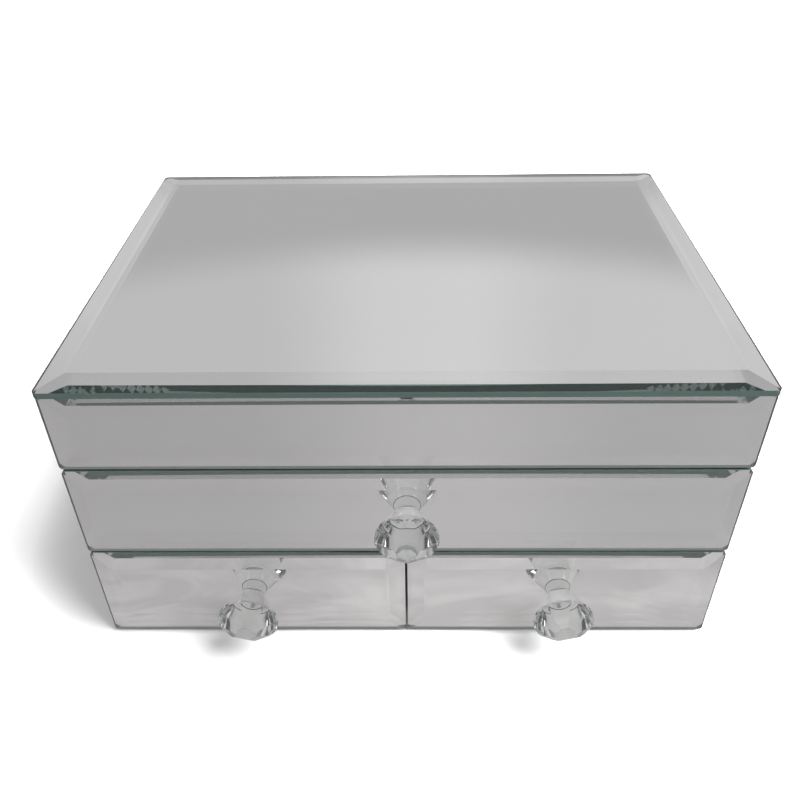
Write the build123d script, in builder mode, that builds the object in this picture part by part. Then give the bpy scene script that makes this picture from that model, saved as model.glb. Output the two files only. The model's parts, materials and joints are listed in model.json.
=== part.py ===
from build123d import *
import os
from math import cos, hypot, radians, sin

# Mirrored vanity trinket box: a hinged hood lid over a jewellery tray, a wide
# drawer below it, and two half-width drawers at the bottom.  Millimetres.
# Frame: +Z up, -Y is the front (drawer side), origin at the centre of the
# underside, on the face of the felt base sheet.

os.makedirs("parts", exist_ok=True)

# ---------------------------------------------------------------- driving sizes
BOX_W = 260.0            # overall width of the mirrored faces
BOX_D = 196.0            # overall depth of the mirrored faces
HALF_W, HALF_D = BOX_W / 2, BOX_D / 2

GLASS_T = 4.5            # mirror glass thickness
GLASS_EDGE = 2.5         # what is left of it at the bevelled edge
BEVEL = 8.0              # bevel width on the upright panes
PANE_R = 1.6             # corner radius of the upright panes
LID_GLASS_EDGE = 2.4     # the same three sizes for the lid plate
LID_BEVEL = 9.5
LID_R = 2.2

BOARD_T = 6.0            # fibreboard behind the mirrors
FELT_T = 1.5
BASE_T = 6.0
SHELF_T = 4.0            # drawer shelf and centre divider
DECK_T = 5.0             # tray deck and lid top board
LINING_R = 3.0           # corner radius of the base felt and lid pad
LINING_INSET = 1.0       # their edges, in from the boards
LID_PAD_T = 3.2

# Half sizes of the nested layers
GLUE = 0.1               # adhesive film behind each mirror and under each knob
GLASS_X, GLASS_Y = HALF_W - GLASS_T, HALF_D - GLASS_T      # silvered backs of the glass
BOARD_X, BOARD_Y = GLASS_X - GLUE, GLASS_Y - GLUE          # outside faces of the boards
INNER_X, INNER_Y = GLASS_X - BOARD_T, GLASS_Y - BOARD_T    # inside faces of the boards
FRONT_GAP = 0.5                                            # drawer front to carcass edge
CARCASS_FRONT = -(INNER_Y - FRONT_GAP)                     # front edges of carcass boards
SIDE_PANE_END = GLASS_Y - 0.1                              # side panes fit between the
SIDE_PANE_FRONT = CARCASS_FRONT + 0.2                      # front and rear glass

# Levels
PANE_GAP = 1.0           # between neighbouring drawer mirrors
Z_PANE_LOW = 1.7         # lower edge of the bottom drawer fronts
Z_LOW_TOP = 51.2         # upper edge of the bottom drawer fronts
Z_MID_LOW = Z_LOW_TOP + PANE_GAP           # lower edge of the wide drawer front
Z_RIM = 95.8             # carcass rim, tray deck top and wide drawer front top
Z_LID_LOW = 97.0         # lower edge of the lid skirt
Z_PLATE = 131.6          # underside of the lid plate
Z_BASE = FELT_T + BASE_T
Z_SHELF = (Z_LOW_TOP + Z_MID_LOW) / 2 - SHELF_T / 2        # underside of the shelf
Z_LID_BOARD = Z_PLATE - DECK_T
Z_LID_PANE_TOP = Z_PLATE - GLUE

# Pads in the tray and the drawers
PAD_T = 3.0
PAD_GAP = 0.5
PAD_R = 2.5

# Hinge places and screws, shared by the hinges and the boards they fix to
HINGE_XS = (-78.0, 78.0)
SCREW_OFFSET = 7.5       # screws to either side of the hinge centre
SCREW_Y = 90.0
SCREWS = [(hinge_x + dx, SCREW_Y) for hinge_x in HINGE_XS
          for dx in (-SCREW_OFFSET, SCREW_OFFSET)]
PILOT = dict(radius=0.84, sink_radius=1.2, depth=8)
LEAF_HOLE = dict(radius=0.85, sink_radius=1.66, depth=2)

# Silvered back planes of the upright mirrors, facing outward
FRONT = Plane(origin=(0, -GLASS_Y, 0), x_dir=(1, 0, 0), z_dir=(0, -1, 0))
REAR = Plane(origin=(0, GLASS_Y, 0), x_dir=(-1, 0, 0), z_dir=(0, 1, 0))
LEFT = Plane(origin=(-GLASS_X, 0, 0), x_dir=(0, -1, 0), z_dir=(-1, 0, 0))
RIGHT = Plane(origin=(GLASS_X, 0, 0), x_dir=(0, 1, 0), z_dir=(1, 0, 0))


# ---------------------------------------------------------------- shape helpers
def save(name, builder):
    """Label a finished piece and write its STEP file."""
    builder.part.label = name
    export_step(builder.part, f"parts/{name}.step")


def slab(x0, x1, y0, y1, z0, z1, radius=0.0, mode=Mode.ADD):
    """A flat board or pad between two corners, in the active part."""
    with BuildSketch(Plane.XY.offset(z0)) as outline:
        with Locations(((x0 + x1) / 2, (y0 + y1) / 2)):
            if radius:
                RectangleRounded(x1 - x0, y1 - y0, radius)
            else:
                Rectangle(x1 - x0, y1 - y0)
    extrude(outline.sketch, amount=z1 - z0, mode=mode)


def across(x0, x1, y, z, radius, mode=Mode.ADD):
    """A round bar along X, in the active part."""
    with BuildSketch(Plane(origin=(x0, y, z), x_dir=(0, 1, 0), z_dir=(1, 0, 0))) as disc:
        Circle(radius)
    extrude(disc.sketch, amount=x1 - x0, mode=mode)


def top_edges(builder):
    return builder.edges().group_by(Axis.Z)[-1]


def hinge_holes(z, facing, radius, sink_radius, depth):
    """Countersunk holes at all hinge screws; facing is +1 where they open
    upward and -1 where they open downward."""
    for x, y in SCREWS:
        with Locations(Plane(origin=(x, y, z), x_dir=(1, 0, 0), z_dir=(0, 0, facing))):
            CounterSinkHole(radius=radius, counter_sink_radius=sink_radius,
                            depth=depth, counter_sink_angle=90)


# ---------------------------------------------------------------- whole-piece helpers
def board(name, x0, x1, y0, y1, z0, z1, radius=0.0):
    """A piece that is one plain slab."""
    with BuildPart() as piece:
        slab(x0, x1, y0, y1, z0, z1, radius=radius)
    save(name, piece)


def pads(name, cells, z):
    """Pads lying at level z in cells (x0, x1, y0, y1), with a gap all round."""
    with BuildPart() as piece:
        for x0, x1, y0, y1 in cells:
            slab(x0 + PAD_GAP, x1 - PAD_GAP, y0 + PAD_GAP, y1 - PAD_GAP,
                 z, z + PAD_T, radius=PAD_R)
    save(name, piece)


def mirror(name, back, u0, u1, v0, v1, edge=GLASS_EDGE, bevel=BEVEL, radius=PANE_R):
    """A bevelled glass pane standing on its silvered back face.

    The back plane carries the pane's outline (u across, v up); the front face
    slopes back to the edge thickness over the bevel, with mitred corners."""
    width, height = u1 - u0, v1 - v0
    centre = ((u0 + u1) / 2, (v0 + v1) / 2)
    with BuildPart() as pane:
        with BuildSketch(back, mode=Mode.PRIVATE) as foot:
            with Locations(centre):
                Rectangle(width, height)
        extrude(foot.sketch, amount=edge)
        with BuildSketch(back.offset(edge), mode=Mode.PRIVATE) as arris:
            with Locations(centre):
                Rectangle(width, height)
        with BuildSketch(back.offset(GLASS_T), mode=Mode.PRIVATE) as flat:
            with Locations(centre):
                Rectangle(width - 2 * bevel, height - 2 * bevel)
        loft([arris.sketch, flat.sketch])
        with BuildSketch(back, mode=Mode.PRIVATE) as outline:
            with Locations(centre):
                RectangleRounded(width, height, radius)
        extrude(outline.sketch, amount=GLASS_T, mode=Mode.INTERSECT)
    save(name, pane)


# ================================================================ carcass
board("base_felt", -BOARD_X + LINING_INSET, BOARD_X - LINING_INSET,
      CARCASS_FRONT + LINING_INSET, BOARD_Y - LINING_INSET, 0, FELT_T, radius=LINING_R)
board("base_board", -BOARD_X, BOARD_X, CARCASS_FRONT, BOARD_Y, FELT_T, Z_BASE)
board("side_board_left", -BOARD_X, -INNER_X, CARCASS_FRONT, INNER_Y, Z_BASE, Z_RIM)
board("side_board_right", INNER_X, BOARD_X, CARCASS_FRONT, INNER_Y, Z_BASE, Z_RIM)

# the rim carries the pilot holes of the hinge screws
with BuildPart() as back_board:
    slab(-BOARD_X, BOARD_X, INNER_Y, BOARD_Y, Z_BASE, Z_RIM)
    hinge_holes(Z_RIM, 1, **PILOT)
save("back_board", back_board)

board("drawer_shelf", -INNER_X, INNER_X, CARCASS_FRONT, INNER_Y, Z_SHELF, Z_SHELF + SHELF_T)
board("centre_divider", -SHELF_T / 2, SHELF_T / 2, CARCASS_FRONT, INNER_Y, Z_BASE, Z_SHELF)
board("tray_deck", -INNER_X, INNER_X, CARCASS_FRONT, INNER_Y, Z_RIM - DECK_T, Z_RIM)

# the side panes start behind the drawer fronts
mirror("side_mirror_left", LEFT, -SIDE_PANE_END, -SIDE_PANE_FRONT, Z_PANE_LOW, Z_RIM)
mirror("side_mirror_right", RIGHT, SIDE_PANE_FRONT, SIDE_PANE_END, Z_PANE_LOW, Z_RIM)
mirror("back_mirror", REAR, -HALF_W, HALF_W, Z_PANE_LOW, Z_RIM)

# ================================================================ jewellery tray
TRAY_WALL = 2.5
TRAY_TOP = 115.6
TRAY_X = INNER_X - 0.6   # outside half width
TRAY_FRONT = -84.0
TRAY_REAR = 85.8
TRAY_CORNER_R = 2.0
TRAY_RIM_FILLET = 0.8
DIVIDER_TOP = 112.1
DIVIDER_FILLET = 0.9
TRAY_ROW_Y = 13.0        # long divider, centre line
RING_END_X = 46.0        # divider at the end of the ring rolls
FRONT_DIVIDER_X = 38.75
HALF_WALL = TRAY_WALL / 2

# inside faces of the frame and the faces of the dividers
CELL_X = TRAY_X - TRAY_WALL
CELL_FRONT, CELL_REAR = TRAY_FRONT + TRAY_WALL, TRAY_REAR - TRAY_WALL
ROW_FRONT, ROW_REAR = TRAY_ROW_Y - HALF_WALL, TRAY_ROW_Y + HALF_WALL

with BuildPart() as tray_frame:
    slab(-TRAY_X, TRAY_X, TRAY_FRONT, TRAY_REAR, Z_RIM, TRAY_TOP, radius=TRAY_CORNER_R)
    slab(-CELL_X, CELL_X, CELL_FRONT, CELL_REAR, Z_RIM, TRAY_TOP, mode=Mode.SUBTRACT)
    fillet(top_edges(tray_frame), TRAY_RIM_FILLET)
save("tray_frame", tray_frame)


def tray_dividers(name, footprints, along):
    """Upright divider boards on the tray deck, rounded along their top edges."""
    with BuildPart() as dividers:
        for x0, x1, y0, y1 in footprints:
            slab(x0, x1, y0, y1, Z_RIM, DIVIDER_TOP)
        fillet(top_edges(dividers).filter_by(along), DIVIDER_FILLET)
    save(name, dividers)


tray_dividers("tray_long_divider", [(-CELL_X, CELL_X, ROW_FRONT, ROW_REAR)], Axis.X)
tray_dividers("tray_ring_divider",
              [(RING_END_X - HALF_WALL, RING_END_X + HALF_WALL, ROW_REAR, CELL_REAR)], Axis.Y)
tray_dividers("tray_front_dividers",
              [(x - HALF_WALL, x + HALF_WALL, CELL_FRONT, ROW_FRONT)
               for x in (-FRONT_DIVIDER_X, FRONT_DIVIDER_X)], Axis.Y)

FRONT_CELLS = (
    (-CELL_X, -FRONT_DIVIDER_X - HALF_WALL, CELL_FRONT, ROW_FRONT),
    (-FRONT_DIVIDER_X + HALF_WALL, FRONT_DIVIDER_X - HALF_WALL, CELL_FRONT, ROW_FRONT),
    (FRONT_DIVIDER_X + HALF_WALL, CELL_X, CELL_FRONT, ROW_FRONT),
)
pads("tray_front_pads", FRONT_CELLS, Z_RIM)
pads("tray_rear_pad", [(RING_END_X + HALF_WALL, CELL_X, ROW_REAR, CELL_REAR)], Z_RIM)

# wrapped foam rolls side by side; rings are pressed between them
ROLL_COUNT = 5
ROLL_R = 6.85
ROLL_END_GAP = 0.6
ROLL_END_FILLET = 1.2
ROLL_PITCH = (CELL_REAR - ROW_REAR) / ROLL_COUNT

with BuildPart() as ring_rolls:
    for k in range(ROLL_COUNT):
        across(-CELL_X + ROLL_END_GAP, RING_END_X - HALF_WALL - ROLL_END_GAP,
               ROW_REAR + (k + 0.5) * ROLL_PITCH, Z_RIM + ROLL_R, ROLL_R)
    fillet(ring_rolls.edges().filter_by(GeomType.CIRCLE), ROLL_END_FILLET)
save("ring_rolls", ring_rolls)

# soft clear dots on the rim that carry the front of the closed lid
BUMPER_X = (INNER_X + GLASS_X) / 2
BUMPER_Y = -78.0
BUMPER_R = 2.6
BUMPER_CLEARANCE = 0.05
BUMPER_CHAMFER = 0.3

with BuildPart() as lid_bumpers:
    with BuildSketch(Plane.XY.offset(Z_RIM)) as dots:
        with Locations((-BUMPER_X, BUMPER_Y), (BUMPER_X, BUMPER_Y)):
            Circle(BUMPER_R)
    extrude(dots.sketch, amount=Z_LID_LOW - Z_RIM - BUMPER_CLEARANCE)
    chamfer(top_edges(lid_bumpers), BUMPER_CHAMFER)
save("lid_bumpers", lid_bumpers)

# ================================================================ hinges
HINGE_Y = 98.4           # hinge pin line
HINGE_Z = (Z_RIM + Z_LID_LOW) / 2
HALF_HINGE = 24.0 / 2    # half the hinge width
KNUCKLE_R = 1.8
PIN_R = 1.0
PIN_OVERHANG = 0.4
PIN_FILLET = 0.3
BODY_BORE_R = PIN_R + 0.02
LID_BORE_R = PIN_R + 0.05
BORE_OVERRUN = 1.0
LEAF_T = 0.5
LEAF_FRONT = INNER_Y + 0.1
LEAF_REAR = HINGE_Y - KNUCKLE_R - 0.2      # clear of the other leaf's knuckles
KNUCKLE_ROOT = HINGE_Y - PIN_R - 0.25      # where a leaf runs into its own knuckle
CENTRE_HALF = 3.9        # half length of the lid's middle knuckle
OUTER_FROM = 4.1         # where the carcass knuckles start
HALF_STOP = 95.5 / 2     # the stop tabs meet at 95.5 degrees of opening
STOP_T = 0.7
STOP_ROOT = PIN_R + 0.3              # stop tab radii about the pin line
STOP_CLEAR = KNUCKLE_R + 0.25
STOP_TIP = KNUCKLE_R + 2.4
Z_BODY_LEAF = Z_RIM + LEAF_T         # top of the carcass leaf
Z_LID_LEAF = Z_LID_LOW - LEAF_T      # underside of the lid leaf

SCREW_HEAD_R = 1.55
SCREW_SHANK_R = 0.8
SCREW_HEAD_H = 0.75
SCREW_SHANK_END = 6.2    # from the head face
SCREW_TIP = 7.4
SCREW_SINK = 0.02        # head face below the leaf face
SLOT_HALF_L, SLOT_HALF_W, SLOT_DEPTH = 1.25, 0.17, 0.35


def stop_tab(x0, x1, angle, side, r0, r1):
    """Heel plate behind a hinge knuckle; its working face lies in the plane
    through the pin line at the given angle above the rear horizontal."""
    a = radians(angle)
    tab = Plane(origin=(x0, HINGE_Y, HINGE_Z), x_dir=(0.0, cos(a), sin(a)), z_dir=(1, 0, 0))
    with BuildSketch(tab) as section:
        with Locations(((r0 + r1) / 2, side * STOP_T / 2)):
            Rectangle(r1 - r0, STOP_T)
    extrude(section.sketch, amount=x1 - x0)


def wood_screw(x, y, z_head, way):
    """Slotted countersunk screw; from its head the shank runs up (way +1) or
    down (way -1)."""
    with BuildSketch(Plane(origin=(x, y, 0), x_dir=(1, 0, 0), z_dir=(0, -1, 0))) as profile:
        with BuildLine():
            Polyline(
                (0, z_head), (SCREW_HEAD_R, z_head),
                (SCREW_SHANK_R, z_head + way * SCREW_HEAD_H),
                (SCREW_SHANK_R, z_head + way * SCREW_SHANK_END),
                (0, z_head + way * SCREW_TIP), (0, z_head),
            )
        make_face()
    revolve(profile.sketch, axis=Axis((x, y, 0), (0, 0, 1)))
    slot_low = z_head if way > 0 else z_head - SLOT_DEPTH
    slab(x - SLOT_HALF_L, x + SLOT_HALF_L, y - SLOT_HALF_W, y + SLOT_HALF_W,
         slot_low, slot_low + SLOT_DEPTH, mode=Mode.SUBTRACT)


# carcass leaves: two outer knuckles each, with a stop tab over the full width
with BuildPart() as hinge_body_leaves:
    for hinge_x in HINGE_XS:
        left, right = hinge_x - HALF_HINGE, hinge_x + HALF_HINGE
        slab(left, right, LEAF_FRONT, LEAF_REAR, Z_RIM, Z_BODY_LEAF)
        for x0, x1 in ((left, hinge_x - OUTER_FROM), (hinge_x + OUTER_FROM, right)):
            slab(x0, x1, LEAF_FRONT, KNUCKLE_ROOT, Z_RIM, Z_BODY_LEAF)
            across(x0, x1, HINGE_Y, HINGE_Z, KNUCKLE_R)
            stop_tab(x0, x1, -HALF_STOP, -1, STOP_ROOT, STOP_TIP)
        stop_tab(left, right, -HALF_STOP, -1, STOP_CLEAR, STOP_TIP)
        across(left - BORE_OVERRUN, right + BORE_OVERRUN, HINGE_Y, HINGE_Z,
               BODY_BORE_R, mode=Mode.SUBTRACT)
    hinge_holes(Z_BODY_LEAF, 1, **LEAF_HOLE)
save("hinge_body_leaves", hinge_body_leaves)

# lid leaves: one middle knuckle each, with its stop tab
with BuildPart() as hinge_lid_leaves:
    for hinge_x in HINGE_XS:
        x0, x1 = hinge_x - CENTRE_HALF, hinge_x + CENTRE_HALF
        slab(hinge_x - HALF_HINGE, hinge_x + HALF_HINGE, LEAF_FRONT, LEAF_REAR,
             Z_LID_LEAF, Z_LID_LOW)
        slab(x0, x1, LEAF_FRONT, KNUCKLE_ROOT, Z_LID_LEAF, Z_LID_LOW)
        across(x0, x1, HINGE_Y, HINGE_Z, KNUCKLE_R)
        stop_tab(x0, x1, HALF_STOP, 1, STOP_ROOT, STOP_TIP)
        across(x0 - BORE_OVERRUN, x1 + BORE_OVERRUN, HINGE_Y, HINGE_Z,
               LID_BORE_R, mode=Mode.SUBTRACT)
    hinge_holes(Z_LID_LEAF, -1, **LEAF_HOLE)
save("hinge_lid_leaves", hinge_lid_leaves)

with BuildPart() as hinge_pins:
    for hinge_x in HINGE_XS:
        across(hinge_x - HALF_HINGE - PIN_OVERHANG, hinge_x + HALF_HINGE + PIN_OVERHANG,
               HINGE_Y, HINGE_Z, PIN_R)
    fillet(hinge_pins.edges().filter_by(GeomType.CIRCLE), PIN_FILLET)
save("hinge_pins", hinge_pins)

for name, z_head, way in (
    ("hinge_body_screws", Z_BODY_LEAF - SCREW_SINK, -1),
    ("hinge_lid_screws", Z_LID_LEAF + SCREW_SINK, 1),
):
    with BuildPart() as screws:
        for x, y in SCREWS:
            wood_screw(x, y, z_head, way)
    save(name, screws)

# ================================================================ lid
mirror("lid_top_mirror", Plane.XY.offset(Z_PLATE), -HALF_W, HALF_W, -HALF_D, HALF_D,
       edge=LID_GLASS_EDGE, bevel=LID_BEVEL, radius=LID_R)
board("lid_top_board", -BOARD_X, BOARD_X, -BOARD_Y, BOARD_Y, Z_LID_BOARD, Z_PLATE - GLUE)
board("lid_front_board", -BOARD_X, BOARD_X, -BOARD_Y, -INNER_Y, Z_LID_LOW, Z_LID_BOARD)

with BuildPart() as lid_rear_board:
    slab(-BOARD_X, BOARD_X, INNER_Y, BOARD_Y, Z_LID_LOW, Z_LID_BOARD)
    hinge_holes(Z_LID_LOW, -1, **PILOT)
save("lid_rear_board", lid_rear_board)

board("lid_side_board_left", -BOARD_X, -INNER_X, -INNER_Y, INNER_Y, Z_LID_LOW, Z_LID_BOARD)
board("lid_side_board_right", INNER_X, BOARD_X, -INNER_Y, INNER_Y, Z_LID_LOW, Z_LID_BOARD)

for name, back, half_width in (
    ("lid_front_mirror", FRONT, HALF_W),
    ("lid_rear_mirror", REAR, HALF_W),
    ("lid_side_mirror_left", LEFT, SIDE_PANE_END),
    ("lid_side_mirror_right", RIGHT, SIDE_PANE_END),
):
    mirror(name, back, -half_width, half_width, Z_LID_LOW, Z_LID_PANE_TOP)

board("lid_pad", -INNER_X + LINING_INSET, INNER_X - LINING_INSET,
      -INNER_Y + LINING_INSET, INNER_Y - LINING_INSET,
      Z_LID_BOARD - LID_PAD_T, Z_LID_BOARD, radius=LINING_R)

# ================================================================ knobs
KNOB_SEAT_Y = -HALF_D - GLUE
KNOB_FOOT_R = 10.8 / 2
KNOB_FOOT_H = 0.16       # height of the bevel round the foot
KNOB_FOOT_BEVEL = 0.2    # its width
KNOB_R = 24.4 / 2        # 16-sided girdle, centre to flat
KNOB_LEN = 19.3
KNOB_TABLE = 3.7         # table, centre to flat
GIRDLE_LOW, GIRDLE_HIGH = 12.0, 13.2       # heights of the girdle over the foot
GIRDLE_SIDES = 16
CROWN_SIDES = 8


def facet(x, z, angle, r0, h0, r1, h1):
    """Cut the knob by one flat facet.

    The facet faces the polar angle about the knob axis and passes through
    radius r0 at height h0 and radius r1 at height h1 over the knob's foot."""
    a = radians(angle)
    dr, dh = r1 - r0, h1 - h0
    length = hypot(dr, dh)
    normal_r, normal_h = dh / length, -dr / length       # outward, in the r-h plane
    origin = (x + r0 * cos(a), KNOB_SEAT_Y - h0, z + r0 * sin(a))
    normal = (normal_r * cos(a), -normal_h, normal_r * sin(a))
    split(bisect_by=Plane(origin=origin, z_dir=normal), keep=Keep.BOTTOM)


def crystal_knob(name, x, z, turn):
    """Clear cut knob on the front mirror: conical pavilion on a small ground
    foot, 16-sided girdle, crown of eight mains, small flat table."""
    corner_r = KNOB_R / cos(radians(180 / GIRDLE_SIDES))
    # the pavilion cone carried on from the flats out to the girdle corners
    corner_h = KNOB_FOOT_H + ((corner_r - KNOB_FOOT_R) * (GIRDLE_LOW - KNOB_FOOT_H)
                              / (KNOB_R - KNOB_FOOT_R))
    seat = (x, KNOB_SEAT_Y, z)
    section = Plane(origin=seat, x_dir=(1, 0, 0), z_dir=(0, 0, -1))
    with BuildPart() as knob:
        with BuildSketch(section, mode=Mode.PRIVATE) as profile:
            with BuildLine():
                Polyline(
                    (0, 0), (KNOB_FOOT_R - KNOB_FOOT_BEVEL, 0), (KNOB_FOOT_R, KNOB_FOOT_H),
                    (corner_r, corner_h), (corner_r, KNOB_LEN), (0, KNOB_LEN), (0, 0),
                )
            make_face()
        revolve(profile.sketch, axis=Axis(seat, (0, -1, 0)))
        for k in range(GIRDLE_SIDES):
            facet(x, z, 360 / GIRDLE_SIDES * k + turn, KNOB_R, GIRDLE_LOW, KNOB_R, GIRDLE_HIGH)
        for k in range(CROWN_SIDES):
            facet(x, z, 360 / CROWN_SIDES * (k + 0.5) + turn,
                  KNOB_R, GIRDLE_HIGH, KNOB_TABLE, KNOB_LEN)
    save(name, knob)


# ================================================================ drawers
DRAWER_WALL = 5.0
DRAWER_BOTTOM = 3.0
DRAWER_BACK_Y = 78.0
DRAWER_BACK_DROP = 1.0   # back wall below the side walls
DRAWER_FILLET = 1.0
SLIDE_GAP = 0.6          # drawer to bay, each side
UNDER_GAP = 0.3          # drawer to the board below it
GROOVE = 2.0             # depth of the grooves for the bottom panel
GROOVE_RISE = 2.0        # bottom panel above the lower edges of the walls
GROOVE_PLAY = 0.05       # above and below the panel
PANEL_PLAY = 0.1         # panel edge to the bottom of the groove
OUTER_INSET = 0.5        # front board behind its mirror, at the box corners
INSET = 0.2              # and at its other edges

KNOB_Z_MID = 74.8
KNOB_Z_LOW = 26.6
WALL_TOP_MID = 84.0
WALL_TOP_LOW = 43.5

DRAWERS = (
    # name, pane (x0, x1), pane (z0, z1), bay (x0, x1), bay floor, wall top,
    # knob (x, z, turn in degrees)
    # the knobs are bonded on by hand, so each is a little off centre or turned
    ("wide_drawer", (-HALF_W, HALF_W), (Z_MID_LOW, Z_RIM), (-INNER_X, INNER_X),
     Z_SHELF + SHELF_T, WALL_TOP_MID, (0.6, KNOB_Z_MID, 0.0)),
    ("left_drawer", (-HALF_W, -PANE_GAP / 2), (Z_PANE_LOW, Z_LOW_TOP),
     (-INNER_X, -SHELF_T / 2), Z_BASE, WALL_TOP_LOW, (-65.3, KNOB_Z_LOW, 6.0)),
    ("right_drawer", (PANE_GAP / 2, HALF_W), (Z_PANE_LOW, Z_LOW_TOP),
     (SHELF_T / 2, INNER_X), Z_BASE, WALL_TOP_LOW, (64.5, KNOB_Z_LOW, -6.0)),
)


def drawer(name, pane_x, pane_z, bay_x, bay_floor, wall_top, knob_place):
    """All pieces of one drawer, closed in its bay."""
    x0, x1 = bay_x[0] + SLIDE_GAP, bay_x[1] - SLIDE_GAP      # outside faces of the walls
    inner_x0, inner_x1 = x0 + DRAWER_WALL, x1 - DRAWER_WALL
    z0 = bay_floor + UNDER_GAP
    panel_z0 = z0 + GROOVE_RISE
    panel_z1 = panel_z0 + DRAWER_BOTTOM
    groove_z = (panel_z0 - GROOVE_PLAY, panel_z1 + GROOVE_PLAY)
    groove_x0, groove_x1 = inner_x0 - GROOVE, inner_x1 + GROOVE

    mirror(f"{name}_mirror", FRONT, *pane_x, *pane_z)

    with BuildPart() as front:
        front_x0 = pane_x[0] + (OUTER_INSET if pane_x[0] == -HALF_W else INSET)
        front_x1 = pane_x[1] - (OUTER_INSET if pane_x[1] == HALF_W else INSET)
        slab(front_x0, front_x1, -BOARD_Y, -INNER_Y, pane_z[0] + INSET, pane_z[1] - INSET)
        slab(groove_x0, groove_x1, -INNER_Y - GROOVE, -INNER_Y, *groove_z, mode=Mode.SUBTRACT)
    save(f"{name}_front", front)

    for side, wall_x, groove_x in (
        ("left", (x0, inner_x0), (groove_x0, inner_x0)),
        ("right", (inner_x1, x1), (inner_x1, groove_x1)),
    ):
        with BuildPart() as wall:
            slab(*wall_x, -INNER_Y, DRAWER_BACK_Y, z0, wall_top)
            slab(*groove_x, -INNER_Y, DRAWER_BACK_Y, *groove_z, mode=Mode.SUBTRACT)
            fillet(top_edges(wall).filter_by(Axis.Y), DRAWER_FILLET)
        save(f"{name}_side_{side}", wall)

    with BuildPart() as back:
        slab(inner_x0, inner_x1, DRAWER_BACK_Y - DRAWER_WALL, DRAWER_BACK_Y,
             groove_z[1], wall_top - DRAWER_BACK_DROP)
        fillet(top_edges(back).filter_by(Axis.X), DRAWER_FILLET)
    save(f"{name}_back", back)

    board(f"{name}_bottom", groove_x0 + PANEL_PLAY, groove_x1 - PANEL_PLAY,
          -INNER_Y - GROOVE + PANEL_PLAY, DRAWER_BACK_Y, panel_z0, panel_z1)
    pads(f"{name}_pad", [(inner_x0, inner_x1, -INNER_Y, DRAWER_BACK_Y - DRAWER_WALL)], panel_z1)
    crystal_knob(f"{name}_knob", *knob_place)


for row in DRAWERS:
    drawer(*row)
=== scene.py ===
# A mirrored jewellery box: bevelled mirror panes on painted board, crystal knobs,
# velvet pads and ring rolls inside, felt underneath. Metres, +Z up. The box stands
# round the origin with its front towards -Y and its right side towards +X.
import bpy
import bmesh
import json
import math
import random
from mathutils import Matrix, Vector, noise


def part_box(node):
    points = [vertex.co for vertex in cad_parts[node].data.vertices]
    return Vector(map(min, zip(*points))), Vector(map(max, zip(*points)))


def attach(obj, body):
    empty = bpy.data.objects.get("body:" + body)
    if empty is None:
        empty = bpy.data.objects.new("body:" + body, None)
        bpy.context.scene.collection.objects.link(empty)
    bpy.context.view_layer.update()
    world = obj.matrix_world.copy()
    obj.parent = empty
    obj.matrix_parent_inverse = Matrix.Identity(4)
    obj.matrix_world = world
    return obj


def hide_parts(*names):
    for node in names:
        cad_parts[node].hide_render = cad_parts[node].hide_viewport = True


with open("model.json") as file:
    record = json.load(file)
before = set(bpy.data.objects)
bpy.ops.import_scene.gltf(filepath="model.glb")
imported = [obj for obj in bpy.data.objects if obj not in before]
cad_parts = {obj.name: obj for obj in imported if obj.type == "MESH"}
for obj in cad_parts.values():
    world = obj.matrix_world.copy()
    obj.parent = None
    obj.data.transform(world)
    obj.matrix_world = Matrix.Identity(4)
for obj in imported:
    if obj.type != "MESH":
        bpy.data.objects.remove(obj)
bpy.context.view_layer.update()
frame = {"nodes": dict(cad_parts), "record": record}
nodes = frame["nodes"]
slot_of = {part["node"]: part["material_slot"] for part in frame["record"]["subparts"]}
random.seed(7)

SAME = 1e-6                  # lengths closer than this count as equal


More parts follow.
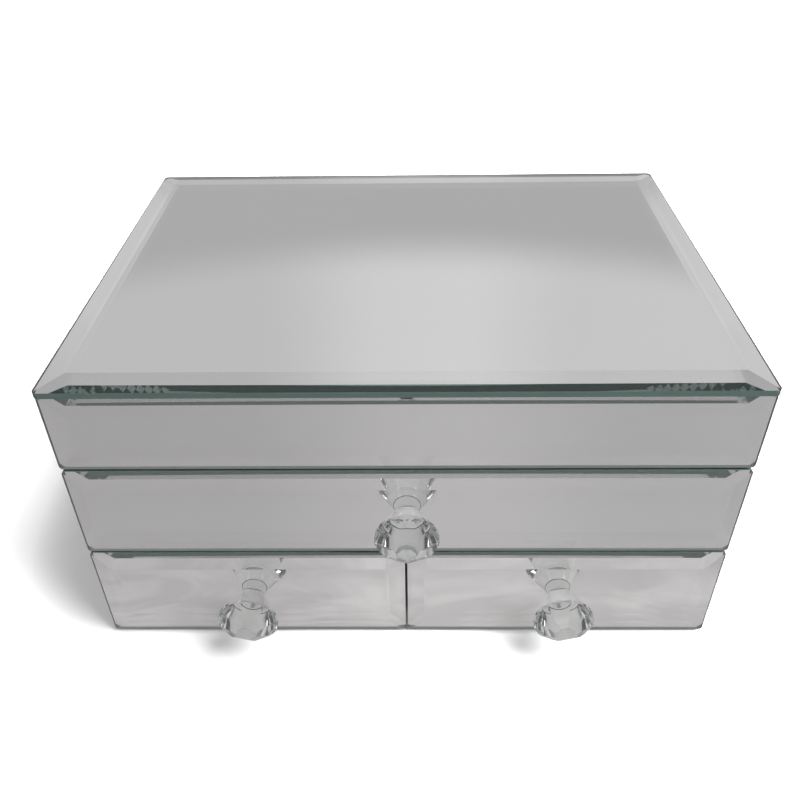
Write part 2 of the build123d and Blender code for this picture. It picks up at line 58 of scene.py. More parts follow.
# ------------------------------------------------------------------ node helpers
class Tree:
    """A node tree opened up for short node code."""

    def __init__(self, tree, output):
        self.tree = tree
        tree.nodes.clear()
        self.out = self.node(output)

    def node(self, kind, ins=None, **settings):
        node = self.tree.nodes.new("ShaderNode" + kind)
        for key, value in settings.items():
            setattr(node, key, value)
        for key, value in (ins or {}).items():
            self.put(node.inputs[key], value)
        return node

    def put(self, socket, value):
        """Link a socket or a node's first output, or set a plain value."""
        if isinstance(value, bpy.types.NodeSocket):
            self.tree.links.new(value, socket)
        elif isinstance(value, bpy.types.Node):
            self.tree.links.new(value.outputs[0], socket)
        else:
            socket.default_value = value

    def math(self, operation, first, second=0.0, clamp=False):
        return self.node("Math", operation=operation, use_clamp=clamp,
                         ins={0: first, 1: second}).outputs[0]

    def add(self, first, second, clamp=False):
        return self.math("ADD", first, second, clamp)

    def sub(self, first, second):
        return self.math("SUBTRACT", first, second)

    def mul(self, first, second):
        return self.math("MULTIPLY", first, second)

    def linear(self, value, base, gain):
        return self.add(base, self.mul(value, gain))

    def mix(self, factor, first, second):
        """Mix two colours."""
        return self.node("Mix", data_type="RGBA", ins={0: factor, 6: first, 7: second}).outputs[2]

    def mix_value(self, factor, first, second):
        return self.node("Mix", data_type="FLOAT", ins={0: factor, 2: first, 3: second}).outputs[0]

    def ramp(self, value, over, to=(0.0, 1.0), interp="LINEAR"):
        """Two-stop grey ramp across the range `over`."""
        node = self.node("ValToRGB", ins={0: value})
        node.color_ramp.interpolation = interp
        for stop, place, grey in zip(node.color_ramp.elements, over, to):
            stop.position = place
            stop.color = (grey, grey, grey, 1)
        return node.outputs[0]

    def ease(self, value, over, to=(0.0, 1.0)):
        """Smooth step across the range `over`."""
        return self.node("MapRange", interpolation_type="SMOOTHSTEP",
                         ins={"Value": value, "From Min": over[0], "From Max": over[1],
                              "To Min": to[0], "To Max": to[1]}).outputs[0]

    def band(self, value, rise, fall):
        """One between `rise` and `fall`, nothing outside them."""
        return self.mul(self.ease(value, rise), self.sub(1.0, self.ease(value, fall)))

    def coords(self, stretch=(1, 1, 1)):
        place = self.node("TexCoord").outputs["Object"]
        return self.node("Mapping", ins={"Vector": place, "Scale": stretch}).outputs[0]

    def noise(self, scale, detail, rough=0.5, stretch=(1, 1, 1), distort=0.0):
        return self.node("TexNoise", ins={
            "Vector": self.coords(stretch), "Scale": scale, "Detail": detail,
            "Roughness": rough, "Distortion": distort}).outputs[0]

    def bump(self, height, strength, distance, normal=None):
        node = self.node("Bump", ins={"Height": height, "Strength": strength,
                                      "Distance": distance})
        if normal is not None:
            self.put(node.inputs["Normal"], normal)
        return node.outputs[0]

    def tinted(self, value, red, blue):
        """A near-grey colour, its red and blue scaled against its green."""
        return self.node("CombineColor", ins={"Red": self.mul(value, red), "Green": value,
                                              "Blue": self.mul(value, blue)}).outputs[0]

    def surface(self, shader):
        self.put(self.out.inputs["Surface"], shader)


class Material(Tree):
    def __init__(self, name):
        self.material = bpy.data.materials.new(name)
        self.material.use_nodes = True
        super().__init__(self.material.node_tree, "OutputMaterial")

    def absorb(self, colour, density):
        self.put(self.out.inputs["Volume"],
                 self.node("VolumeAbsorption", ins={"Color": colour, "Density": density}))

    def principled(self, **values):
        """Finish with a principled surface; underscores stand for spaces in input names."""
        ins = {key.replace("_", " "): value for key, value in values.items()}
        self.surface(self.node("BsdfPrincipled", ins=ins))
        return self.material


# ------------------------------------------------------------------ materials
PANE_IOR = 1.52
PANE_BODY = dict(colour=(0.30, 0.56, 0.50, 1), density=8.0)      # green of thick float glass


def glass_face():
    """Polished float glass over the silvering, with faint handling marks."""
    mat = Material("bevelled_glass")
    smear = mat.ramp(mat.noise(scale=26, detail=3, rough=0.55, stretch=(1, 1.6, 1), distort=0.6),
                     over=(0.50, 0.72))
    hair = mat.ramp(mat.noise(scale=420, detail=2, rough=0.6, stretch=(0.04, 1, 1)),
                    over=(0.70, 0.78))
    smear_rough, hair_rough = 0.012, 0.01
    mat.absorb(**PANE_BODY)
    return mat.principled(
        Base_Color=(0.985, 0.995, 0.99, 1), IOR=PANE_IOR, Transmission_Weight=1.0,
        Roughness=mat.add(mat.mul(smear, smear_rough), mat.mul(hair, hair_rough)),
        Normal=mat.bump(mat.noise(scale=9, detail=1, rough=0.4), strength=0.02, distance=0.001))


def glass_edge():
    """The same glass where it is cut: a fine-ground face; seen from inside the glass it gets a
    lighter colour and a glow, both painted light.
    """
    mat = Material("ground_glass_edge")
    grind = mat.noise(scale=1500, detail=2, rough=0.6, stretch=(1, 1, 3))
    base = mat.mix(mat.noise(scale=70, detail=3, rough=0.6),
                   (0.070, 0.108, 0.100, 1), (0.095, 0.140, 0.130, 1))
    inside = mat.node("NewGeometry").outputs["Backfacing"]
    # seen from inside the glass the edge takes a lighter colour: painted light for light carried
    # inside the pane
    base = mat.mix(inside, base, (0.16, 0.19, 0.18, 1))
    # painted glow: emission stands in for light carried along inside the pane, weaker where the
    # edge faces sideways
    glow, side_loss = 0.15, 0.10
    normal = mat.node("NewGeometry").outputs["True Normal"]
    normal_x = mat.node("SeparateXYZ", ins={"Vector": normal}).outputs["X"]
    painted_glow = mat.mul(inside, mat.sub(glow, mat.mul(mat.math("ABSOLUTE", normal_x), side_loss)))
    mat.absorb(**PANE_BODY)
    return mat.principled(
        Base_Color=base, Roughness=mat.linear(grind, base=0.42, gain=0.2), IOR=PANE_IOR,
        Specular_IOR_Level=0.4, Emission_Color=(0.88, 1.0, 0.965, 1), Emission_Strength=painted_glow,
        Normal=mat.bump(grind, strength=0.25, distance=0.0002))


def silvering():
    """Silver behind the glass, with slight tarnish clouds and sparse pinholes."""
    mat = Material("silvering")
    cloud = mat.ramp(mat.noise(scale=14, detail=4, rough=0.6), over=(0.3, 0.75))
    base = mat.mix(cloud, (0.968, 0.950, 0.953, 1), (0.978, 0.962, 0.965, 1))
    cell = mat.node("TexVoronoi", ins={"Vector": mat.coords(), "Scale": 60}).outputs["Distance"]
    keep = mat.ramp(mat.noise(scale=37, detail=1), over=(0.62, 0.64), interp="CONSTANT")
    hole = mat.mul(mat.ramp(cell, over=(0.012, 0.02), to=(1.0, 0.0)), keep)
    hole_rough = 0.4
    return mat.principled(Base_Color=mat.mix(hole, base, (0.16, 0.15, 0.14, 1)), Metallic=1.0,
                          Roughness=mat.mul(hole, hole_rough))


def crystal():
    mat = Material("crystal_glass")
    polish = mat.noise(scale=300, detail=2)
    mat.absorb(colour=(0.75, 0.93, 0.88, 1), density=4.0)
    return mat.principled(Base_Color=(0.995, 1.0, 0.998, 1), IOR=1.54, Transmission_Weight=1.0,
                          Roughness=mat.ramp(polish, over=(0.62, 0.8), to=(0.0, 0.02)))


def ground_foot_painted_shade():
    """The fine-ground wall of a knob's foot, coloured dark as painted shade where the knob meets
    the mirror.
    """
    mat = Material("ground_knob_foot_painted_shade")
    grind = mat.noise(scale=900, detail=3, rough=0.6)
    return mat.principled(
        Base_Color=mat.mix(grind, (0.05, 0.055, 0.052, 1), (0.10, 0.11, 0.105, 1)),
        Roughness=0.5, IOR=1.5, Transmission_Weight=0.25)


def paint():
    """Satin silver-grey lacquer on fibreboard."""
    mat = Material("silver_grey_lacquer")
    fibre = mat.noise(scale=260, detail=4, rough=0.65, stretch=(1, 1, 2.2))
    cloud = mat.noise(scale=22, detail=3)
    base = mat.mix(cloud, (0.36, 0.36, 0.355, 1), (0.43, 0.43, 0.425, 1))
    base = mat.mix(mat.ramp(fibre, over=(0.4, 0.8), to=(0.0, 0.25)), base,
                   (0.30, 0.30, 0.295, 1))
    return mat.principled(
        Base_Color=base, Metallic=0.25, Roughness=mat.linear(fibre, base=0.34, gain=0.16),
        Normal=mat.bump(fibre, strength=0.12, distance=0.0004),
        Coat_Weight=0.15, Coat_Roughness=0.3)


def flock():
    """Charcoal flocked paper: short dense fibre over board."""
    mat = Material("charcoal_flock")
    fine = mat.noise(scale=2600, detail=2, rough=0.7)
    patch = mat.noise(scale=60, detail=4, rough=0.6)
    base = mat.mix(patch, (0.030, 0.029, 0.031, 1), (0.050, 0.048, 0.051, 1))
    base = mat.mix(mat.ramp(fine, over=(0.45, 0.75), to=(0.0, 0.6)), base,
                   (0.085, 0.082, 0.086, 1))
    return mat.principled(
        Base_Color=base, Roughness=0.95, Sheen_Weight=0.6, Sheen_Roughness=0.4,
        Sheen_Tint=(0.7, 0.7, 0.75, 1), Specular_IOR_Level=0.15,
        Normal=mat.bump(fine, strength=0.5, distance=0.0004))


def velvet():
    """Charcoal velvet: pile lies in soft patches that catch the light."""
    mat = Material("charcoal_velvet")
    pile = mat.noise(scale=3200, detail=2, rough=0.7)
    brushed = mat.noise(scale=46, detail=3, rough=0.55, stretch=(1, 1.6, 1), distort=0.25)
    lay = mat.ramp(brushed, over=(0.30, 0.72))
    base = mat.mix(lay, (0.032, 0.030, 0.034, 1), (0.056, 0.053, 0.058, 1))
    base = mat.mix(mat.ramp(pile, over=(0.5, 0.8), to=(0.0, 0.5)), base,
                   (0.11, 0.105, 0.115, 1))
    normal = mat.bump(pile, strength=0.6, distance=0.0005)
    normal = mat.bump(brushed, strength=0.25, distance=0.001, normal=normal)
    return mat.principled(
        Base_Color=base, Roughness=0.9, Sheen_Weight=0.55, Sheen_Roughness=0.42,
        Sheen_Tint=(0.85, 0.84, 0.9, 1), Specular_IOR_Level=0.1, Normal=normal)


def felt():
    mat = Material("black_felt")
    fibre = mat.noise(scale=900, detail=5, rough=0.75, distort=2.0)
    return mat.principled(
        Base_Color=mat.mix(fibre, (0.012, 0.012, 0.013, 1), (0.045, 0.045, 0.047, 1)),
        Roughness=1.0, Sheen_Weight=0.4, Specular_IOR_Level=0.1,
        Normal=mat.bump(fibre, strength=0.7, distance=0.0006))


def nickel():
    mat = Material("nickel_plate")
    draw = mat.noise(scale=900, detail=3, rough=0.6, stretch=(0.06, 1, 1))
    age = mat.noise(scale=160, detail=3, rough=0.6)
    return mat.principled(
        Base_Color=mat.mix(age, (0.60, 0.59, 0.56, 1), (0.72, 0.71, 0.69, 1)), Metallic=1.0,
        Roughness=mat.linear(draw, base=0.16, gain=0.2),
        Normal=mat.bump(draw, strength=0.1, distance=0.0001))


def bumper():
    mat = Material("clear_bumper")
    haze = mat.noise(scale=500, detail=2)
    return mat.principled(Base_Color=(0.93, 0.93, 0.91, 1), Transmission_Weight=0.85, IOR=1.48,
                          Roughness=mat.linear(haze, base=0.12, gain=0.15))


def thread():
    """Two-ply sewing thread, a shade lighter than the velvet."""
    mat = Material("grey_thread")
    ply = mat.noise(scale=2400, detail=2, rough=0.6, stretch=(1, 0.4, 1))
    return mat.principled(
        Base_Color=mat.mix(ply, (0.07, 0.068, 0.073, 1), (0.17, 0.165, 0.175, 1)),
        Roughness=0.75, Sheen_Weight=0.3, Normal=mat.bump(ply, strength=0.5, distance=0.0003))


GLASS, EDGE, SILVER, THREAD = glass_face(), glass_edge(), silvering(), thread()
CRYSTAL, FOOT, PAINT, FLOCK = crystal(), ground_foot_painted_shade(), paint(), flock()
VELVET, FELT, NICKEL, BUMPER = velvet(), felt(), nickel(), bumper()
BY_SLOT = {"painted_board": PAINT, "drawer_board": FLOCK, "tray_card": FLOCK,
           "velvet": VELVET, "felt": FELT, "hinge_steel": NICKEL, "bumper": BUMPER,
           "crystal": CRYSTAL, "mirror_glass": GLASS}

# ------------------------------------------------------------------ hard pieces
FACE_INDEX, SILVER_INDEX, EDGE_INDEX = 0, 1, 2       # material slots of a pane
# the ground foot of a knob is coloured dark, as painted shade where it meets the mirror
FOOT_INDEX = 1                                       # ground foot, on a knob
FOOT_DEPTH = 0.0005                                  # ground band at a knob's rear
# width of the small arris on every hard edge, so that none is knife-sharp
ARRIS = {"mirror_glass": 0.00036, "crystal": 0.00012, "painted_board": 0.0004,
         "drawer_board": 0.0003, "tray_card": 0.0005, "hinge_steel": 0.00012}


def pane_outward(name):
    """The way a mirror pane's front face looks."""
    if name == "lid_top_mirror":
        return Vector((0, 0, 1))
    if "side_mirror_left" in name:
        return Vector((-1, 0, 0))
    if "side_mirror_right" in name:
        return Vector((1, 0, 0))
    if name in ("back_mirror", "lid_rear_mirror"):
        return Vector((0, 1, 0))
    return Vector((0, -1, 0))


def dress_pane(name, mesh):
    """Glass in front, ground glass at the cut edges, silver on the back face."""
    mesh.materials.append(SILVER)
    mesh.materials.append(EDGE)
    outward = pane_outward(name)
    for face in mesh.polygons:
        facing = face.normal.dot(outward)
        if facing < -0.9:
            face.material_index = SILVER_INDEX
        else:
            face.material_index = EDGE_INDEX if abs(facing) < 0.3 else FACE_INDEX


def dress_knob(name, mesh):
    """Grind the thin wall round the knob's foot, at its +Y end, and darken it as painted shade."""
    mesh.materials.append(FOOT)
    place = nodes[name].matrix_world
    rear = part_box(name)[1][1]
    for face in mesh.polygons:
        centre, normal = place @ face.center, place.to_3x3() @ face.normal
        if rear - centre.y < FOOT_DEPTH and abs(normal.y) < 0.9:
            face.material_index = FOOT_INDEX


def add_arris(piece, slot):
    weld = piece.modifiers.new("weld", "WELD")
    weld.merge_threshold = SAME
    bevel = piece.modifiers.new("arris", "BEVEL")
    bevel.width = ARRIS[slot]
    bevel.segments = 1 if slot == "crystal" else 2
    bevel.limit_method = "ANGLE"
    bevel.angle_limit = math.radians(20 if slot == "crystal" else 40)
    # the arris of a pane is ground like its cut edge
    bevel.material = EDGE_INDEX if slot == "mirror_glass" else -1


for name, piece in nodes.items():
    piece.data.materials.clear()
    piece.data.materials.append(BY_SLOT[slot_of[name]])
for name, piece in nodes.items():
    slot = slot_of[name]
    if slot == "mirror_glass":
        dress_pane(name, piece.data)
    elif slot == "crystal":
        dress_knob(name, piece.data)
    if slot in ARRIS:
        add_arris(piece, slot)

# ------------------------------------------------------------------ soft goods
# cushions: distances in from the rim, heights as shares of the thickness
SEAM = 0.006                 # border seam
CUSHION_RIM = (0.0, 0.0005, 0.0013, 0.0026, 0.0042, SEAM, 0.0078)
PAD_PITCH, HANGING_PITCH = 0.0038, 0.0046
RIM_LEVEL, SEAM_LEVEL = 0.38, 0.50
UNDERCUT = 0.0013            # reach of the rounding on the glued face
NOSE, NOSE_RISE = 0.0036, 0.50           # bullnose outside the seam
CROWN, CROWN_SWELL, CROWN_REACH = 0.80, 0.16, 0.018
CORNER_REACH, CORNER_PULL = 0.008, 0.0012

# ring rolls
ROLL_SIDES = 26
PLEATS = ROLL_SIDES // 2
ROLL_PITCH = 0.0036
# gathered end rings: inset from the end, share of the radius, pleat depth, ripple along x
ROLL_ENDS = ((0.0016, 0.16, 0.0, 0.0), (0.0008, 0.38, 0.05, 0.0004), (0.0002, 0.64, 0.05, 0.0004))
# shoulder: distance from the end, share of the radius
ROLL_SHOULDER = ((0.0003, 0.86), (0.0010, 0.945), (0.0022, 0.98), (0.0040, 0.995), (0.0062, 1.0))

# felt sheet
FELT_RIM = (0.0, 0.0004, 0.0012, 0.003)
FELT_EDGE = FELT_RIM[2]      # width of the fluffed edge
FELT_PITCH = 0.006

# stitches: spacing, rise above the seam, half length, half width, half height
STITCH_PITCH, STITCH_RISE = 0.0036, 0.00030
STITCH_LONG, STITCH_WIDE, STITCH_HIGH = 0.00105, 0.00026, 0.00024
STITCH_FACES = ((0, 1, 2, 3), (7, 6, 5, 4), (0, 4, 5, 1), (1, 5, 6, 2), (2, 6, 7, 3), (3, 7, 4, 0))

# inflating the covers
WORK_SCALE = 40.0            # a real cover is far lighter than the solver's vertex mass
LAST_FRAME = 20
PAD_TRAVEL, ROLL_TRAVEL = 0.0012, 0.0006     # most a point may move
OVERHANG = 0.0010            # most a cover may swell past its box, on its free side
CLOTH = dict(quality=5, mass=0.3, tension_stiffness=12, compression_stiffness=12,
             shear_stiffness=4, bending_stiffness=0.4, vertex_group_mass="sewn",
             use_pressure=True, uniform_pressure_force=4.0, shrink_min=-0.035)


def solid_boxes(name):
    """Boxes of the separate solids in one node, front to back, then left to right."""
    bm = bmesh.new()
    bm.from_mesh(nodes[name].data)
    bm.transform(nodes[name].matrix_world)
    bmesh.ops.remove_doubles(bm, verts=bm.verts, dist=SAME)
    seen, boxes = set(), []
    for first in bm.verts:
        if first in seen:
            continue
        seen.add(first)
        stack, solid = [first], []
        while stack:
            vert = stack.pop()
            solid.append(vert.co.copy())
            for edge in vert.link_edges:
                other = edge.other_vert(vert)
                if other not in seen:
                    seen.add(other)
                    stack.append(other)
        boxes.append(tuple(Vector([pick(co[i] for co in solid) for i in range(3)])
                           for pick in (min, max)))
    bm.free()
    return sorted(boxes, key=lambda box: (round(box[0].y, 4), round(box[0].x, 4)))


class Cover:
    """The soft shells that stand in for one node. `up` is 1 for a pad lying on its base,
    -1 for one hanging from it, and 0 for pieces without a sewn border."""

    def __init__(self, node, body, make, up):
        self.node, self.body, self.up = node, body, up
        self.verts, self.faces = [], []
        self.pins = []           # vertices held still while the cover is inflated
        self.cages = []          # the solid's box, for each vertex
        self.boxes = solid_boxes(node)
        for low, high in self.boxes:
            make(self, low, high)
            self.cages += [(low, high)] * (len(self.verts) - len(self.cages))

    def glued(self, low, high):
        """Height of the glued face."""
        return low.z if self.up > 0 else high.z


def marks(low, high, rim, pitch):
    """Grid lines across a piece: close together at both rims, then even."""
    inner = high - low - 2 * rim[-1]
    count = max(2, round(inner / pitch))
    return ([low + step for step in rim]
            + [low + rim[-1] + inner * k / count for k in range(1, count)]
            + [high - step for step in reversed(rim)])


def closed_grid(cover, low, high, rim, pitch, place):
    """Two grids sharing their outermost points. Side 0 is the glued or lower face.
    `place(side, x, y, inset, on_rim)` gives a point; `inset` is its distance from the rim."""
    xs, ys = marks(low.x, high.x, rim, pitch), marks(low.y, high.y, rim, pitch)
    index = {}
    for side in (0, 1):
        for i, x in enumerate(xs):
            for j, y in enumerate(ys):
                on_rim = i in (0, len(xs) - 1) or j in (0, len(ys) - 1)
                if side and on_rim:
                    index[1, i, j] = index[0, i, j]
                    continue
                inset = min(x - low.x, high.x - x, y - low.y, high.y - y)
                index[side, i, j] = len(cover.verts)
                if side == 0 or abs(inset - SEAM) < SAME:
                    cover.pins.append(len(cover.verts))
                cover.verts.append(place(side, x, y, inset, on_rim))
    for side in (0, 1):
        for i in range(len(xs) - 1):
            for j in range(len(ys) - 1):
                quad = [index[side, i, j], index[side, i + 1, j],
                        index[side, i + 1, j + 1], index[side, i, j + 1]]
                cover.faces.append(quad if (side == 1) == (cover.up >= 0) else quad[::-1])


def cushion(cover, low, high):
    """A stuffed pad: flat where it is glued, bullnosed rim, border sewn down, soft crown."""
    thick = high.z - low.z
    base = cover.glued(low, high)

    def place(side, x, y, inset, on_rim):
        # the corners are rounded by easing the grid inwards
        near_x = max(0, 1 - min(x - low.x, high.x - x) / CORNER_REACH)
        near_y = max(0, 1 - min(y - low.y, high.y - y) / CORNER_REACH)
        pull = CORNER_PULL * (near_x * near_y) ** 3
        x += pull if x < (low.x + high.x) / 2 else -pull
        y += pull if y < (low.y + high.y) / 2 else -pull
        if on_rim:
            height = RIM_LEVEL * thick
        elif side == 0:
            height = RIM_LEVEL * thick * max(0.0, 1 - inset / UNDERCUT) ** 2
        elif inset < SEAM - SAME:
            along = min(inset / NOSE, 1)
            height = thick * (RIM_LEVEL + NOSE_RISE * math.sqrt(1 - (1 - along) ** 2))
        elif inset < SEAM + SAME:
            height = SEAM_LEVEL * thick
        else:
            swell = 1 - math.exp(-(inset - SEAM) / CROWN_REACH)
            height = thick * (CROWN + CROWN_SWELL * swell)
            # slight unevenness of the stuffing
            soft = noise.noise(Vector((x * 55, y * 55, low.x * 10))) * 0.6
            height += thick * 0.05 * soft
        return x, y, base + cover.up * height

    pitch = PAD_PITCH if cover.up > 0 else HANGING_PITCH
    closed_grid(cover, low, high, CUSHION_RIM, pitch, place)


def felt_sheet(cover, low, high):
    """Pressed felt under the box: cut edge a little fluffed, underside slightly uneven."""
    thick = high.z - low.z

    def place(side, x, y, inset, on_rim):
        fluff = max(0.0, 1 - inset / FELT_EDGE)
        if on_rim:
            height = 0.5 * thick
        elif side == 0:
            uneven = 0.5 + 0.5 * noise.noise(Vector((x * 90, y * 90, 3.0)))
            height = 0.45 * thick * fluff + 0.10 * thick * uneven
        else:
            height = thick - 0.4 * thick * fluff
        return x, y, low.z + height

    closed_grid(cover, low, high, FELT_RIM, FELT_PITCH, place)


def roll(cover, low, high):
    """A ring roll: stuffed tube along x with gathered, pleated ends."""
    middle = (low + high) / 2
    radius_y, radius_z = (high.y - low.y) / 2, (high.z - low.z) / 2
    rows = []

    def ring(x, share, pleat=0.0, ripple=0.0):
        row = []
        for k in range(ROLL_SIDES):
            angle = 2 * math.pi * k / ROLL_SIDES
            wave = math.cos(PLEATS * angle)
            fold = 1 + pleat * wave
            uneven = noise.noise(Vector((x * 140, angle * 1.5, middle.y * 90)))
            slack = 1 - 0.018 * (0.5 + 0.5 * uneven)
            row.append(len(cover.verts))
            # pinned where it lies on the deck and at its gathered ends
            if share < 0.75 or math.sin(angle) < -0.85:
                cover.pins.append(len(cover.verts))
            cover.verts.append((x + ripple * wave,
                                middle.y + radius_y * share * fold * slack * math.cos(angle),
                                middle.z + radius_z * share * fold * slack * math.sin(angle)))
        rows.append(row)

    for inset, share, pleat, ripple in ROLL_ENDS:
        ring(low.x + inset, share, pleat, ripple)
    rim = (0.0,) + tuple(distance for distance, _ in ROLL_SHOULDER)
    for x in marks(low.x, high.x, rim, ROLL_PITCH)[1:-1]:
        inset = min(x - low.x, high.x - x)
        ring(x, next((share for distance, share in ROLL_SHOULDER if inset <= distance + SAME),
                     1.0))
    for inset, share, pleat, ripple in reversed(ROLL_ENDS):
        ring(high.x - inset, share, pleat, -ripple)
    for row, after in zip(rows, rows[1:]):
        for k in range(ROLL_SIDES):
            right = (k + 1) % ROLL_SIDES
            cover.faces.append((row[k], row[right], after[right], after[k]))
    cover.faces.append(tuple(rows[0]))
    cover.faces.append(tuple(reversed(rows[-1])))


def stitches(cover, low, high):
    """Small thread stitches lying in the border seam."""
    thick = high.z - low.z
    z = cover.glued(low, high) + cover.up * (SEAM_LEVEL * thick + STITCH_RISE)
    x0, x1, y0, y1 = low.x + SEAM, high.x - SEAM, low.y + SEAM, high.y - SEAM
    corners = [Vector((x, y, z)) for x, y in ((x0, y0), (x1, y0), (x1, y1), (x0, y1))]
    for start, end in zip(corners, corners[1:] + corners[:1]):
        side = end - start
        count = int(side.length / STITCH_PITCH)
        along = side.normalized()
        cross = Vector((-along.y, along.x, 0))
        for k in range(count):
            centre = start + side * ((k + 0.5) / count)
            first = len(cover.verts)
            for long in (-STITCH_LONG, STITCH_LONG):
                for wide, tall in ((-1, -1), (1, -1), (1, 1), (-1, 1)):
                    cover.verts.append(tuple(centre + along * long + cross * (wide * STITCH_WIDE)
                                             + Vector((0, 0, tall * STITCH_HIGH))))
            cover.faces += [tuple(first + i for i in quad) for quad in STITCH_FACES]


def soft_mesh(name, verts, faces):
    mesh = bpy.data.meshes.new(name)
    mesh.from_pydata(verts, [], faces)
    bm = bmesh.new()
    bm.from_mesh(mesh)
    bmesh.ops.recalc_face_normals(bm, faces=bm.faces)
    bm.to_mesh(mesh)
    bm.free()
    mesh.polygons.foreach_set("use_smooth", [True] * len(mesh.polygons))
    return mesh


def work_copy(cover):
    """An enlarged copy of a cover, set up as cloth under pressure."""
    verts = [tuple(WORK_SCALE * c for c in vert) for vert in cover.verts]
    copy = bpy.data.objects.new("cover_work", soft_mesh("cover_work", verts, cover.faces))
    bpy.context.scene.collection.objects.link(copy)
    copy.vertex_groups.new(name="sewn").add(cover.pins, 1.0, "ADD")
    cloth = copy.modifiers.new("cover", "CLOTH")
    for key, value in CLOTH.items():
        setattr(cloth.settings, key, value)
    cloth.settings.effector_weights.gravity = 0.0
    cloth.point_cache.frame_start = 1
    cloth.point_cache.frame_end = LAST_FRAME
    return copy


def held(cover, was, now, cage):
    """A moved point, limited in travel and kept near its box."""
    low, high = cage
    travel = PAD_TRAVEL if cover.up else ROLL_TRAVEL
    below = OVERHANG if cover.up < 0 else 0.0
    above = OVERHANG if cover.up >= 0 else 0.0
    move = now - was
    if move.length > travel:
        move *= travel / move.length
    point = was + move
    point.x = min(max(point.x, low.x), high.x)
    point.y = min(max(point.y, low.y), high.y)
    point.z = min(max(point.z, low.z - below), high.z + above)
    return tuple(point)


def puff(covers):
    """Inflate the covers a little from inside."""
    scene = bpy.context.scene
    copies = [work_copy(cover) for cover in covers]
    for number in range(1, LAST_FRAME + 1):
        scene.frame_set(number)
    depsgraph = bpy.context.evaluated_depsgraph_get()
    for cover, copy in zip(covers, copies):
        mesh = copy.evaluated_get(depsgraph).to_mesh()
        cover.verts = [held(cover, Vector(was), vert.co / WORK_SCALE, cage)
                       for was, vert, cage in zip(cover.verts, mesh.vertices, cover.cages)]
    for copy in copies:
        mesh = copy.data
        bpy.data.objects.remove(copy, do_unlink=True)
        bpy.data.meshes.remove(mesh)
    scene.frame_set(1)


def build_cover(cover):
    kind = "felt" if cover.node == "base_felt" else "velvet"
    cloth_faces = len(cover.faces)
    if cover.up:
        for low, high in cover.boxes:
            stitches(cover, low, high)
    mesh = soft_mesh(cover.node + "_cover", cover.verts, cover.faces)
    mesh.materials.append(BY_SLOT[kind])
    mesh.materials.append(THREAD)
    for face in mesh.polygons:
        face.material_index = 1 if face.index >= cloth_faces else 0
    soft = bpy.data.objects.new(cover.node + "_soft", mesh)
    bpy.context.scene.collection.objects.link(soft)
    smooth = soft.modifiers.new("smooth", "SUBSURF")
    smooth.levels = smooth.render_levels = 1
    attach(soft, cover.body)
    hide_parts(cover.node)


covers = [Cover(*row) for row in (
    ("tray_front_pads", "carcass", cushion, 1), ("tray_rear_pad", "carcass", cushion, 1),
    ("ring_rolls", "carcass", roll, 0), ("lid_pad", "lid", cushion, -1),
    ("wide_drawer_pad", "wide_drawer", cushion, 1),
    ("left_drawer_pad", "left_drawer", cushion, 1),
    ("right_drawer_pad", "right_drawer", cushion, 1))]
puff(covers)
covers.append(Cover("base_felt", "carcass", felt_sheet, 0))
for cover in covers:
    build_cover(cover)


# ------------------------------------------------------------------ stage
def reflected_sheet(mat, x, y):
    """The sheet as mirrors show it, as painted light: an emission of mid grey, brighter in the
    middle and by the box.
    """
    middle_gain, right_loss = 0.080, 0.016
    middle = mat.mul(mat.ease(x, over=(-0.10, 0.01)),
                     mat.ease(x, over=(0.03, 0.14), to=(1.0, 0.0)))
    near = mat.mul(mat.ease(y, over=(-0.150, -0.112)),
                   mat.ease(y, over=(-0.102, -0.100), to=(1.0, 0.75)))
    # painted caustics: blotches of painted light by the box, standing in for light the mirrors
    # throw onto the sheet
    painted_caustic = mat.ramp(mat.noise(scale=19, detail=3, rough=0.55, stretch=(1, 2.6, 1), distort=0.9),
                      over=(0.42, 0.68))
    # painted light and shade: brighter in the middle, darker to the right, brighter nearer the
    # box, darker far out to the sides
    glow = mat.linear(middle, base=0.232, gain=middle_gain)
    glow = mat.sub(glow, mat.mul(mat.ease(x, over=(0.02, 0.16)), right_loss))
    glow = mat.add(glow, mat.ease(y, over=(-0.215, -0.155), to=(0.0, 0.035)))
    glow = mat.add(glow, mat.mul(near, mat.linear(painted_caustic, base=0.075, gain=0.15)))
    glow = mat.mul(glow, mat.ease(mat.math("ABSOLUTE", x), over=(0.22, 0.40), to=(1.0, 0.25)))
    colour = mat.tinted(glow, red=1.06, blue=1.01)
    return mat.node("AddShader", ins={
        0: mat.node("Emission", ins={"Color": colour, "Strength": 0.8}),
        1: mat.node("BsdfDiffuse", ins={"Color": (0.09, 0.09, 0.09, 1)})})


def direct_sheet(mat, x, y, position):
    """The sheet as the camera sees it: bright white, with the soft shadow of the box partly cast
    by the lamps and partly painted.
    """
    far = mat.node("VectorMath", operation="LENGTH", ins={0: position}).outputs["Value"]
    # painted light: emission weak by the box and growing away from it, which leaves painted shade
    # near the box
    painted_lift = mat.ease(far, over=(0.19, 0.42), to=(0.05, 1.0))
    # painted shadow: the paper's colour is darker to the left of the box and in front of it
    paper = mat.mul(mat.ease(x, over=(-0.15, -0.04), to=(0.62, 0.9)),
                    mat.ease(y, over=(-0.17, -0.10), to=(0.50, 1.0)))
    paper = mat.add(paper, mat.ease(far, over=(0.165, 0.225), to=(0.0, 0.8)), clamp=True)
    return mat.node("AddShader", ins={
        0: mat.node("Emission", ins={"Color": (1, 1, 1, 1), "Strength": painted_lift}),
        1: mat.node("BsdfDiffuse", ins={"Color": paper})})


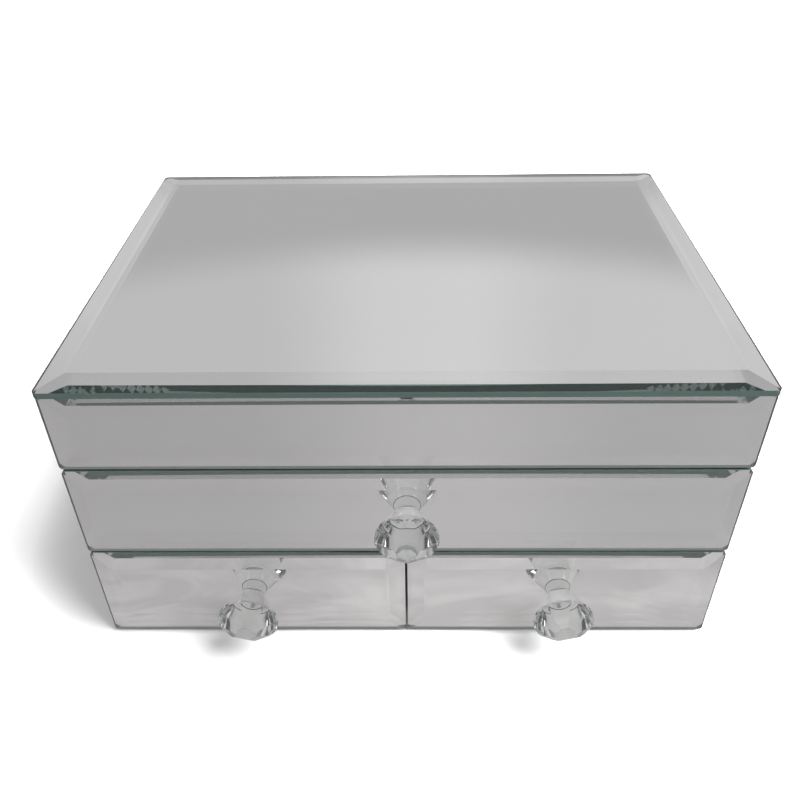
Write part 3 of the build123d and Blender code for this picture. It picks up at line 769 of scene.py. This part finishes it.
def build_floor():
    bpy.ops.mesh.primitive_grid_add(x_subdivisions=2, y_subdivisions=2, size=6.0,
                                    location=(0, 0, 0))
    floor = bpy.context.object
    floor.name = "floor"
    mat = Material("pale_floor")
    position = mat.node("NewGeometry").outputs["Position"]
    split = mat.node("SeparateXYZ", ins={"Vector": position})
    x, y = split.outputs["X"], split.outputs["Y"]
    mat.surface(mat.node("MixShader", ins={
        0: mat.node("LightPath").outputs["Is Camera Ray"],
        1: reflected_sheet(mat, x, y),
        2: direct_sheet(mat, x, y, position)}))
    floor.data.materials.append(mat.material)


def build_world():
    """The room that the mirrors reflect; the camera itself sees plain white.
    Angles are in degrees; azimuth is 0 straight behind the box (+Y), + to the right."""
    world = bpy.data.worlds.new("studio")
    bpy.context.scene.world = world
    world.use_nodes = True
    sky = Tree(world.node_tree, "OutputWorld")
    split = sky.node("SeparateXYZ", ins={"Vector": sky.node("TexCoord").outputs["Generated"]})
    x, y, z = (split.outputs[axis] for axis in "XYZ")
    degrees = 180 / math.pi
    elevation = sky.mul(sky.math("ARCSINE", z), degrees)
    azimuth = sky.mul(sky.math("ARCTAN2", x, y), degrees)
    off_axis = sky.math("ABSOLUTE", azimuth)

    # the wall behind, in bands of grey: change, elevations it runs over, amount
    light = 0.35
    for operation, over, amount in (("ADD", (4, 13), 0.135), ("SUBTRACT", (18.5, 21.5), 0.045),
                                    ("ADD", (25.0, 28.3), 0.11), ("SUBTRACT", (36.5, 39), 0.05),
                                    ("SUBTRACT", (40, 52), 0.10)):
        light = sky.math(operation, light, sky.mul(sky.ease(elevation, over), amount))
    # its two pale bands are brighter in the middle and to the right
    low_gain, middle_gain, right_gain = 1.5, 0.10, 0.07
    middle = sky.band(azimuth, rise=(-13, -2), fall=(3, 14))
    right = sky.ease(azimuth, over=(-12, 20))
    low_band = sky.mul(sky.mul(sky.ease(elevation, over=(8, 13)), low_gain),
                       sky.sub(1.0, sky.ease(elevation, over=(18.5, 21.5))))
    pale = sky.add(sky.band(elevation, rise=(24.5, 28.5), fall=(42, 55)), low_band)
    light = sky.add(light, sky.mul(pale, sky.add(sky.mul(middle, middle_gain),
                                                 sky.mul(right, right_gain))))

    # in front of the box the room is dim; the side walls are dark, each with a tall window
    front_light, side_light, window_light, ceiling_light = 0.24, 0.07, 3.0, 0.42
    ceiling = sky.mul(sky.ease(elevation, over=(52, 66)), ceiling_light)
    window = sky.mul(sky.band(off_axis, rise=(104, 105), fall=(115, 116)),
                     sky.band(elevation, rise=(24, 25), fall=(44, 45)))
    light = sky.mix_value(sky.ease(y, over=(0.10, -0.16)), light, sky.add(front_light, ceiling))
    light = sky.mix_value(sky.band(off_axis, rise=(34, 52), fall=(138, 154)), light,
                          sky.add(sky.add(side_light, ceiling), sky.mul(window, window_light)))
    colour = sky.tinted(light, red=1.02, blue=1.012)
    sky.surface(sky.node("MixShader", ins={
        0: sky.node("LightPath").outputs["Is Camera Ray"],
        1: sky.node("Background", ins={"Color": colour, "Strength": 1.0}),
        2: sky.node("Background", ins={"Color": (1, 1, 1, 1), "Strength": 1.0})}))


def area_light(name, place, size, power):
    """A soft light aimed at the box, hidden from reflections and from the camera."""
    data = bpy.data.lights.new(name, "AREA")
    data.shape = "RECTANGLE"
    data.size, data.size_y = size
    data.energy = power
    lamp = bpy.data.objects.new(name, data)
    bpy.context.scene.collection.objects.link(lamp)
    lamp.location = place
    aim = Vector((0, 0, 0.05)) - Vector(place)
    lamp.rotation_euler = aim.to_track_quat("-Z", "Y").to_euler()
    lamp.visible_glossy = lamp.visible_transmission = lamp.visible_camera = False


def build_camera():
    """In front of the box and above it, looking back and down."""
    data = bpy.data.cameras.new("camera")
    camera = bpy.data.objects.new("camera", data)
    bpy.context.scene.collection.objects.link(camera)
    data.sensor_width = 36.0
    data.lens = 36.617
    data.clip_start = 0.01
    right = Vector((0.9998549594, 0.0108874106, -0.0130967310))
    forward = Vector((-0.0165794559, 0.7981481120, -0.6022331052))
    up = Vector((0.0038963720, 0.6023628937, 0.7982128555))
    place = Vector((0.0033, -0.3234, 0.3007))
    camera.matrix_world = Matrix((*zip(right, up, -forward, place), (0, 0, 0, 1)))
    bpy.context.scene.camera = camera


build_floor()
build_world()
area_light("key", place=(0.60, -0.27, 0.98), size=(0.75, 0.75), power=34.0)
area_light("fill", place=(-0.5, -0.7, 1.1), size=(1.0, 1.0), power=7.0)
area_light("back", place=(0.1, 0.9, 0.9), size=(1.2, 0.8), power=3.0)
build_camera()

scene = bpy.context.scene
scene.view_settings.view_transform = "Standard"
scene.view_settings.look = "None"
# light crosses many panes, so paths are long
for key, value in dict(max_bounces=80, transmission_bounces=72, glossy_bounces=72,
                       transparent_max_bounces=8, caustics_reflective=False,
                       caustics_refractive=True, sample_clamp_indirect=6.0).items():
    setattr(scene.cycles, key, value)
